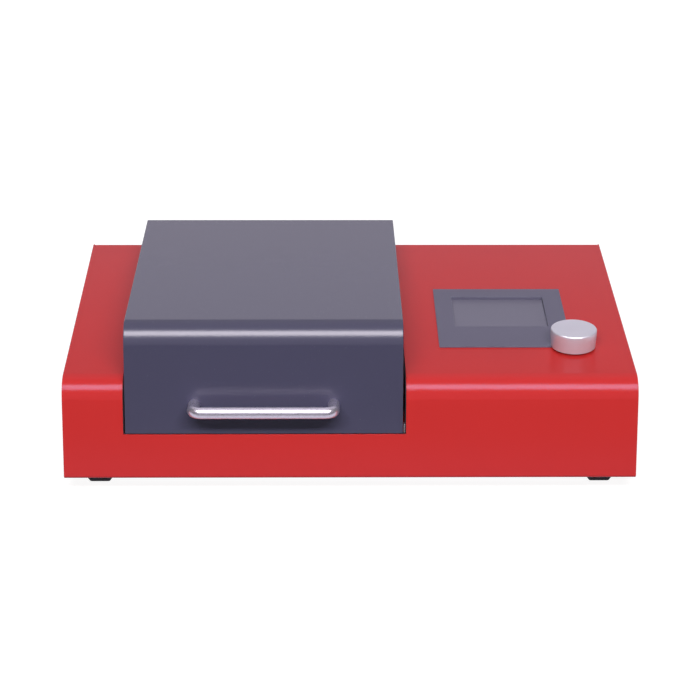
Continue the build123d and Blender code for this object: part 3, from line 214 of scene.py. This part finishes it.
def grain_group():
    """Fine random grain, drawn out along one axis where Stretch asks for it."""
    made, takes, gives = group("grain", {"Size": 0.001, "Stretch": Vector((1, 1, 1)), "Softness": 0.5},
                               {"Mask": "Float"})
    at = put(made, "TexCoord").outputs["Object"]
    pulled = put(made, "VectorMath", {"operation": "DIVIDE"}, n0=at, n1=takes.outputs["Stretch"])
    scaled = put(made, "VectorMath", {"operation": "SCALE"}, n0=pulled.outputs[0],
                 Scale=maths(made, "DIVIDE", 1.0, takes.outputs["Size"]))
    noise = put(made, "TexNoise", Vector=scaled.outputs[0], Scale=1.0, Detail=3.0,
                Roughness=takes.outputs["Softness"])
    made.links.new(noise.outputs[0], gives.inputs["Mask"])
    return made


def tint_group():
    """A colour that drifts a little lighter and darker over the piece."""
    made, takes, gives = group("tint", {"Colour": (0.5, 0.5, 0.5, 1), "Patch": 0.05, "Drift": 0.1},
                               {"Colour": "Color"})
    at = put(made, "TexCoord").outputs["Object"]
    scaled = put(made, "VectorMath", {"operation": "SCALE"}, n0=at,
                 Scale=maths(made, "DIVIDE", 1.0, takes.outputs["Patch"]))
    noise = put(made, "TexNoise", Vector=scaled.outputs[0], Scale=1.0, Detail=2.0)
    swing = maths(made, "MULTIPLY", maths(made, "SUBTRACT", noise.outputs[0], 0.5), takes.outputs["Drift"])
    level = maths(made, "ADD", 1.0, maths(made, "MULTIPLY", swing, 2.0))
    colour = put(made, "VectorMath", {"operation": "SCALE"}, n0=takes.outputs["Colour"], Scale=level)
    made.links.new(colour.outputs[0], gives.inputs["Colour"])
    return made


def edge_group():
    """Where a piece has its outer edges: 1 on the edge, 0 a little away from it, broken up by grain."""
    made, takes, gives = group("edges", {"Width": 0.0008, "Break": 0.004}, {"Mask": "Float"})
    soft = put(made, "Bevel", {"samples": 4}, Radius=takes.outputs["Width"]).outputs[0]
    flat = put(made, "NewGeometry").outputs["Normal"]
    match = put(made, "VectorMath", {"operation": "DOT_PRODUCT"}, n0=soft, n1=flat).outputs["Value"]
    edge = put(made, "MapRange", Value=match, From_Min=0.995, From_Max=0.85, To_Min=0.0, To_Max=1.0)
    at = put(made, "TexCoord").outputs["Object"]
    scaled = put(made, "VectorMath", {"operation": "SCALE"}, n0=at,
                 Scale=maths(made, "DIVIDE", 1.0, takes.outputs["Break"]))
    noise = put(made, "TexNoise", Vector=scaled.outputs[0], Scale=1.0, Detail=4.0)
    broken = put(made, "MapRange", Value=noise.outputs[0], From_Min=0.35, From_Max=0.65, To_Min=0.3,
                 To_Max=1.0)
    made.links.new(maths(made, "MULTIPLY", edge.outputs[0], broken.outputs[0]), gives.inputs["Mask"])
    return made


grain, tint, edges = grain_group(), tint_group(), edge_group()


def finish_of(name, colour, rough, metal=0.0, drift=0.06, patch=0.04, size=0.001, stretch=(1, 1, 1),
              height=0.00002, gloss_drift=0.08, edge_rub_and_highlight=0.0, edge_rub_and_highlight_colour=None, edge=0.0004, **more):
    """A finish: drifting colour, grain in its gloss and surface, softened edges, and edges painted lighter,
    both as rub wear and as a painted highlight.
    """
    made = bpy.data.materials.new(name)
    made.use_nodes = True
    tree = made.node_tree
    tree.nodes.clear()
    shader = put(tree, "BsdfPrincipled")
    tree.links.new(shader.outputs[0], put(tree, "OutputMaterial").inputs["Surface"])
    shade = place(tree, tint, Colour=colour, Patch=patch, Drift=drift).outputs["Colour"]
    fine = place(tree, grain, Size=size, Stretch=Vector(stretch)).outputs["Mask"]
    roughness = put(tree, "MapRange", Value=fine, From_Min=0.2, From_Max=0.8, To_Min=rough - gloss_drift,
                    To_Max=rough + gloss_drift).outputs[0]
    if edge_rub_and_highlight:
        rubbed_and_highlit_edges = maths(tree, "MULTIPLY", place(tree, edges).outputs["Mask"], edge_rub_and_highlight)
        shade = put(tree, "Mix", {"data_type": "RGBA"}, n0=rubbed_and_highlit_edges, n6=shade,
                    n7=edge_rub_and_highlight_colour or (0.8, 0.8, 0.8, 1)).outputs[2]
    tree.links.new(shade, shader.inputs["Base Color"])
    tree.links.new(roughness, shader.inputs["Roughness"])
    soft = put(tree, "Bevel", {"samples": 4}, Radius=edge)
    bump = put(tree, "Bump", Height=fine, Distance=height, Strength=1.0, Normal=soft.outputs[0])
    tree.links.new(bump.outputs[0], shader.inputs["Normal"])
    shader.inputs["Metallic"].default_value = metal
    for label, value in more.items():
        shader.inputs[label.replace("_", " ")].default_value = value
    return made


def dress(material, *names):
    """Gives CAD nodes their finish."""
    for name in names:
        for slot in nodes[name].material_slots:
            slot.material = material


def spangle_steel():
    """Hot-dip galvanised sheet: zinc crystals of a few millimetres, each with its own grey and gloss."""
    made = finish_of("zinc_sheet", tone(176, 180, 184), 0.42, metal=1.0, size=0.0006, height=0.000004)
    tree = made.node_tree
    shader = tree.nodes["Principled BSDF"]
    at = put(tree, "TexCoord").outputs["Object"]
    crystal = put(tree, "TexVoronoi", Vector=at, Scale=110.0)
    grey = put(tree, "MapRange", Value=put(tree, "SeparateColor", Color=crystal.outputs["Color"]).outputs[0],
               To_Min=0.42, To_Max=0.62).outputs[0]
    colour = put(tree, "CombineColor", Red=grey, Green=maths(tree, "MULTIPLY", grey, 1.02),
                 Blue=maths(tree, "MULTIPLY", grey, 1.05))
    tree.links.new(colour.outputs[0], shader.inputs["Base Color"])
    gloss = put(tree, "MapRange", Value=put(tree, "SeparateColor", Color=crystal.outputs["Color"]).outputs[1],
                To_Min=0.3, To_Max=0.52).outputs[0]
    tree.links.new(gloss, shader.inputs["Roughness"])
    return made


zinc_sheet = spangle_steel()
dress(zinc_sheet, "base_pan")

# Feet and base screws
# Four moulded rubber feet, each held by a screw through the pan, and zinc-plated screws round the
# pan's edge that hold it to the housing.
rubber = finish_of("rubber", tone(23, 20, 27), 0.8, drift=0.1, size=0.0008, height=0.00003)
screw_steel = finish_of("screw_steel", tone(188, 188, 192), 0.28, metal=1.0, size=0.0004, height=0.000004,
                        stretch=(1, 1, 3))
dress(rubber, "rubber_feet")
dress(screw_steel, "foot_screws", "base_screws")


# Housing shell
# One steel sheet, notched for the lid, bent over the front in a large radius and powder coated in red.
def powder_coat(name, colour, edge_highlight_colour, rough, peel, shine, sheen_tint):
    """Thick baked powder coat: an even gloss with orange peel, and a painted highlight that leaves it a
    little lighter on its edges.
    """
    return finish_of(name, colour, rough, drift=0.02, patch=0.06, size=0.0011, height=peel,
                     gloss_drift=0.04, edge_rub_and_highlight=0.3, edge_rub_and_highlight_colour=edge_highlight_colour, edge=0.0006,
                     Specular_IOR_Level=shine, Specular_Tint=sheen_tint)


# The second colour is a lighter red painted on its edges as a highlight.
red_paint = powder_coat("red_paint", (0.585, 0.031, 0.03, 1), (0.68, 0.07, 0.07, 1), 0.17, 0.000018, 0.16,
                        (0.38, 0.96, 1.4, 1))
dress(red_paint, "housing_shell")


# Notch shade strip
# A thin black strip in the rubber finish runs round the inside of the notch, just behind the face, and along
# its sill: painted shade, a dark sheet where the gaps round the lid lie in shade. A folded clip of spring
# steel holds its lower right end.
def piece(name, work, materials, body):
    """Makes a piece of what was built in a bmesh, in its finishes, and lets it ride on a body."""
    bmesh.ops.recalc_face_normals(work, faces=work.faces)
    mesh = bpy.data.meshes.new(name)
    work.to_mesh(mesh)
    work.free()
    for material in materials:
        mesh.materials.append(material)
    made = bpy.data.objects.new(name, mesh)
    scene.collection.objects.link(made)
    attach(made, body)
    return made


def slab(work, outline, x_low, x_high):
    """Adds a plate to a bmesh: an outline of (y, z) points, pulled from one x to another."""
    rows = [[work.verts.new((x, y, z)) for y, z in outline] for x in (x_low, x_high)]
    count = len(outline)
    for row in rows:
        work.faces.new(row)
    for i in range(count):
        j = (i + 1) % count
        work.faces.new((rows[0][i], rows[0][j], rows[1][j], rows[1][i]))


lean, slope = radians(6), radians(4.2)
face_foot, foot_height, corner_height, bend_radius = -0.15643, 0.01, 0.104, 0.02
corner_depth = face_foot + (corner_height - foot_height) * sin(lean) / cos(lean)


def beside_profile(inset, low, back, steps=10):
    """Points (y, z) along the face, round the bend and up the top, that far inside the sheet's outside."""
    inward_face = Vector((cos(lean), -sin(lean)))
    inward_top = Vector((sin(slope), -cos(slope)))
    turn = inward_face.angle(inward_top)
    middle = Vector((corner_depth, corner_height)) + (inward_face + inward_top).normalized() * (
        bend_radius / cos(turn / 2))
    points = [(face_foot + (low - foot_height) * sin(lean) / cos(lean) + inset / cos(lean), low)]
    for step in range(steps + 1):
        angle = lean + (pi / 2 - slope - lean) * step / steps
        outward = Vector((-cos(angle), sin(angle)))
        points.append(tuple(middle + outward * (bend_radius - inset)))
    rise = corner_height + (back - corner_depth) * sin(slope) / cos(slope)
    points.append((back, rise - inset / cos(slope)))
    return points


notch_left, notch_right, deck = -0.1974, 0.0483, 0.0564
shade_strip_thickness, shade_strip_inset, shade_strip_depth, shade_strip_back, shade_strip_lift = 0.0008, 0.0012, 0.017, 0.155, 0.0002
front_edge = beside_profile(shade_strip_inset, deck + shade_strip_lift, shade_strip_back)
rear_edge = beside_profile(shade_strip_depth, deck + shade_strip_lift, shade_strip_back)
work = bmesh.new()
slab(work, front_edge + rear_edge[::-1], notch_right - shade_strip_thickness, notch_right)
slab(work, front_edge + rear_edge[::-1], notch_left, notch_left + shade_strip_thickness)
sill_front, sill_width, sill_top = front_edge[0][0], 0.003, deck + 0.0005
sill_outline = [(sill_front, deck), (sill_front + sill_width, deck), (sill_front + sill_width, sill_top),
                (sill_front, sill_top)]
slab(work, sill_outline, notch_left + shade_strip_thickness, notch_right - shade_strip_thickness)
piece("notch_shade_strip", work, [rubber], "console")

clip_low, clip_high = deck + 0.0012, deck + 0.0086
clip_inset, clip_depth, clip_width, clip_edge = 0.0004, 0.006, 0.0021, 0.0002
clip_face = [beside_profile(clip_inset, height, shade_strip_back)[0] for height in (clip_low, clip_high)]
clip_outline = clip_face + [(y + clip_depth, z) for y, z in clip_face[::-1]]
work = bmesh.new()
slab(work, clip_outline, notch_right - clip_width, notch_right - shade_strip_thickness)
bmesh.ops.bevel(work, geom=work.edges[:], offset=clip_edge, segments=2, affect="EDGES")
piece("seal_clip", work, [screw_steel], "console")

# Rear panel
# A steel sheet behind everything, powder coated in fine black, screwed to the flanges of the housing.
black_sheet = finish_of("black_sheet", tone(34, 34, 37), 0.5, size=0.0007, height=0.00003, edge_rub_and_highlight=0.4,
                        edge_rub_and_highlight_colour=tone(90, 90, 92))
dress(black_sheet, "rear_panel")
dress(screw_steel, "rear_panel_screws")

# Chamber
# A polished aluminium tub hangs in the notch's deck. A silicone gasket lies round its rim, two rubber
# buffers and two catch magnets take the lid, and parts to be cured stand on a glass plate.
bright_aluminium = finish_of("bright_aluminium", tone(218, 218, 222), 0.22, metal=1.0, size=0.0005,
                             stretch=(40, 1, 1), height=0.000003, drift=0.03)
silicone = finish_of("silicone", tone(196, 92, 76), 0.55, size=0.001, height=0.00002,
                     Subsurface_Weight=0.1)
magnet_metal = finish_of("magnet_metal", tone(196, 196, 200), 0.2, metal=1.0, size=0.0006,
                         height=0.000003)
black_plastic = finish_of("black_plastic", tone(36, 36, 39), 0.45, size=0.0005, height=0.00002, edge_rub_and_highlight=0.25,
                          edge_rub_and_highlight_colour=tone(80, 80, 84))
brass = finish_of("brass", tone(205, 170, 98), 0.24, metal=1.0, size=0.0005, height=0.000004, edge_rub_and_highlight=0.3,
                  edge_rub_and_highlight_colour=tone(232, 208, 150))
clear_glass = finish_of("clear_glass", tone(236, 246, 242), 0.03, drift=0.01, gloss_drift=0.02,
                        size=0.02, height=0.0, IOR=1.5, Transmission_Weight=1.0)
dress(bright_aluminium, "chamber_tub")
dress(silicone, "chamber_gasket")
dress(rubber, "lid_buffers")
dress(magnet_metal, "catch_magnets", "interlock_magnet")
dress(black_plastic, "interlock_switch")
dress(brass, "chamber_nozzle")
dress(clear_glass, "glass_plate")

# Lower lamps
# An extruded aluminium heat sink on the pan, a white lamp board on its back, and sixty-three
# ultraviolet lamps that shine up through the tub's window.
sink_aluminium = finish_of("sink_aluminium", tone(186, 187, 192), 0.35, metal=1.0, size=0.0006,
                           stretch=(1, 30, 1), height=0.000006)
lamp_board = finish_of("lamp_board", tone(226, 228, 226), 0.35, size=0.0006, height=0.000006)
dress(sink_aluminium, "lower_heat_sink", "lid_heat_sink")
dress(lamp_board, "lower_lamp_board", "lid_lamp_board")
lamp_body = finish_of("lamp_body", tone(232, 228, 208), 0.3, size=0.0006, height=0.000006)
lamp_dome = finish_of("lamp_dome", tone(232, 234, 214), 0.08, drift=0.01, gloss_drift=0.02, size=0.002,
                      height=0.0, IOR=1.45, Transmission_Weight=0.6)


def lamp_array(name, node, body, up):
    """Lamps in rows and columns: each a ceramic base with a clear silicone dome over the chip."""
    low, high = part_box(node)
    columns, rows = 7, 9
    side, base, base_edge = 0.0035, 0.0007, 0.0002
    dome_width, dome_rise, dome_foot, dome_cut = 0.003, 0.0013, 0.98 * base, 0.9 * base
    seat = low.z if up > 0 else high.z
    work = bmesh.new()
    for column in range(columns):
        for row in range(rows):
            x = low.x + side / 2 + (high.x - low.x - side) * column / (columns - 1)
            y = low.y + side / 2 + (high.y - low.y - side) * row / (rows - 1)
            at = Matrix.Translation((x, y, seat + up * base / 2)) @ Matrix.Diagonal((side, side, base, 1))
            bottom = bmesh.ops.create_cube(work, size=1, matrix=at)["verts"]
            lines = {edge for vert in bottom for edge in vert.link_edges}
            bmesh.ops.bevel(work, geom=list(lines), offset=base_edge, segments=1, affect="EDGES")
            at = Matrix.Translation((x, y, seat + up * dome_foot))
            at = at @ Matrix.Diagonal((dome_width / 2, dome_width / 2, dome_rise * up, 1))
            dome = bmesh.ops.create_uvsphere(work, u_segments=12, v_segments=8, radius=1, matrix=at)["verts"]
            hidden = [vert for vert in dome if (vert.co.z - seat) * up < dome_cut]
            bmesh.ops.delete(work, geom=hidden, context="VERTS")
            for face in {face for vert in dome if vert.is_valid for face in vert.link_faces}:
                face.material_index, face.smooth = 1, True
    lamps = piece(name, work, [lamp_body, lamp_dome], body)
    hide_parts(node)


lamp_array("lower_lamp_array", "lower_lamps", "console", 1)
lamp_array("lid_lamp_array", "lid_lamps", "lid", -1)

# Nitrogen line
# A brass port with a lock nut in the rear panel, polyurethane tube to a solenoid valve, and from
# there to the nozzle in the chamber's wall.
tube_plastic = finish_of("tube_plastic", tone(150, 190, 220), 0.25, size=0.001, height=0.000005,
                         Transmission_Weight=0.5, IOR=1.45)
dress(brass, "nitrogen_port", "nitrogen_port_nut")
dress(tube_plastic, "nitrogen_inlet_tube", "nitrogen_outlet_tube")
dress(black_plastic, "solenoid_valve")

# Mains inlet
# One black moulding with the plug socket, a drawer for the fuse and a rocker switch.
rocker_plastic = finish_of("rocker_plastic", tone(28, 28, 30), 0.25, size=0.0006, height=0.00001)
fuse_glass = finish_of("fuse_glass", tone(236, 240, 240), 0.06, drift=0.01, gloss_drift=0.02, size=0.01,
                       height=0.0, IOR=1.5, Transmission_Weight=0.9)
dress(black_plastic, "power_inlet", "fuse_drawer")
dress(rocker_plastic, "power_rocker")
dress(brass, "inlet_pins")
dress(fuse_glass, "fuse")

# Power supply and lamp driver
# Two closed units in galvanised cases that stand on the pan, the supply's cover punched for air.
dress(zinc_sheet, "power_supply", "lamp_driver")

# Controller
# A green board with its parts, on four steel posts.
circuit_board = finish_of("circuit_board", tone(20, 92, 58), 0.35, size=0.0008, height=0.00001)


def with_parts(board_top):
    """Green board whose raised parts are black, with pale tracks on the board itself."""
    made = finish_of("circuit_board_with_parts", tone(20, 92, 58), 0.35, size=0.0008, height=0.00001)
    tree = made.node_tree
    shader = tree.nodes["Principled BSDF"]
    spot = put(tree, "TexCoord").outputs["Object"]
    height = put(tree, "SeparateXYZ", Vector=spot).outputs["Z"]
    board_skin = 0.0001
    raised = maths(tree, "GREATER_THAN", height, board_top + board_skin)
    lines = put(tree, "TexBrick", Vector=spot, Color1=tone(20, 92, 58), Color2=tone(24, 102, 64),
                Mortar=tone(70, 148, 104), Scale=1.0)
    lines.inputs["Mortar Size"].default_value = 0.0003
    lines.inputs["Brick Width"].default_value = 0.009
    lines.inputs["Row Height"].default_value = 0.0022
    tracks, moulded = lines.outputs["Color"], tone(38, 38, 41)
    colour = put(tree, "Mix", {"data_type": "RGBA"}, n0=raised, n6=tracks, n7=moulded)
    tree.links.new(colour.outputs[2], shader.inputs["Base Color"])
    return made


board_thickness = 0.0016
dress(with_parts(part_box("controller_board")[0].z + board_thickness), "controller_board")
dress(circuit_board, "display_board")
dress(screw_steel, "board_posts")

# Fan
# A 60 mm fan behind the rear panel with a round-wire guard outside it.
dress(black_plastic, "fan_frame", "fan_rotor")
dress(screw_steel, "fan_screws")
low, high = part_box("fan_guard")
wire = (high.y - low.y) / 2
middle = Vector(((low.x + high.x) / 2, low.y + wire, (low.z + high.z) / 2))
guard_data = bpy.data.curves.new("fan_wire_guard", "CURVE")
guard_data.dimensions = "3D"
guard_data.bevel_depth, guard_data.bevel_resolution, guard_data.resolution_u = wire, 4, 10


def wire_ring(centre, radius):
    """One welded ring of wire in the guard's plane."""
    ring = guard_data.splines.new("BEZIER")
    ring.bezier_points.add(3)
    for number, point in enumerate(ring.bezier_points):
        angle = number * pi / 2
        point.co = centre + radius * Vector((cos(angle), 0, sin(angle)))
        point.handle_left_type = point.handle_right_type = "AUTO"
    ring.use_cyclic_u = True


ring_radii, eyelet_radius, screw_reach = (0.0092, 0.0193, 0.0294), 0.0036, 0.025
for radius in ring_radii:
    wire_ring(middle, radius)
for across in (-1, 1):
    for along in (-1, 1):
        corner = Vector((across * screw_reach, 0, along * screw_reach))
        wire_ring(middle + corner, eyelet_radius)
        spoke = guard_data.splines.new("POLY")
        spoke.points.add(1)
        for point, reach in zip(spoke.points, (ring_radii[0], corner.length - eyelet_radius)):
            point.co = (*(middle + corner.normalized() * reach), 1)
guard_data.materials.append(screw_steel)
guard = bpy.data.objects.new("fan_wire_guard", guard_data)
scene.collection.objects.link(guard)
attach(guard, "console")
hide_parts("fan_guard")

# Display
# A dark grey film over an aluminium plate, cut out over the sunk grey screen.
# Its edges are painted a pale blue-grey as a highlight.
panel_face = finish_of("panel_face", (0.137, 0.127, 0.19, 1), 0.32, drift=0.02, size=0.0005,
                       height=0.000006, edge_rub_and_highlight=0.5, edge_rub_and_highlight_colour=tone(150, 154, 174), Specular_IOR_Level=0.1)
screen_face = finish_of("screen_face", (0.182, 0.17, 0.235, 1), 0.22, drift=0.015, size=0.0003,
                        height=0.000001, Specular_IOR_Level=0.12)
dress(panel_face, "display_panel")
dress(screen_face, "display_screen")
dress(screw_steel, "display_posts")

# Knob
# A solid turned knob in bead-blasted aluminium on the encoder's steel shaft, held by a set screw.
turned_aluminium = finish_of("turned_aluminium", (0.702, 0.677, 0.767, 1), 0.36, metal=0.48, size=0.0004,
                             height=0.000004)
dress(turned_aluminium, "knob")
dress(screw_steel, "knob_set_screw", "encoder_shaft", "encoder_nut")
dress(black_plastic, "encoder_body", "encoder_plunger")

# Hinges
# Two steel butt hinges on the rear, with their leaves screwed to the panel and to the lid.
hinge_steel = finish_of("hinge_steel", tone(170, 171, 176), 0.34, metal=1.0, size=0.0006,
                        stretch=(30, 1, 1), height=0.000005)
dress(hinge_steel, "hinge_body_leaves", "hinge_lid_leaves", "hinge_pins")
dress(screw_steel, "hinge_body_screws", "hinge_lid_screws")

# Lid shell
# A deep hood of steel sheet with a level top, bent over the front, powder coated in dark blue-grey.
# The second colour is a lighter blue-grey painted on its edges as a highlight.
grey_paint = powder_coat("grey_paint", (0.062, 0.0585, 0.106, 1), (0.12, 0.115, 0.18, 1), 0.245, 0.000012,
                         0.53, (1, 1, 1, 1))
dress(grey_paint, "lid_shell")

# Lid inside
# A polished liner with its window, the upper lamps on their board and heat sink, and the posts.
dress(bright_aluminium, "lid_liner")
dress(clear_glass, "lid_glass")
dress(screw_steel, "liner_posts")

# Handle
# A bow of round steel bar, bent twice and satin finished, screwed on from inside the lid.
satin_steel = finish_of("satin_steel", (0.7, 0.665, 0.755, 1), 0.3, metal=0.85, size=0.0004,
                        stretch=(20, 1, 1), height=0.000004)
dress(satin_steel, "handle")
dress(screw_steel, "handle_screws")
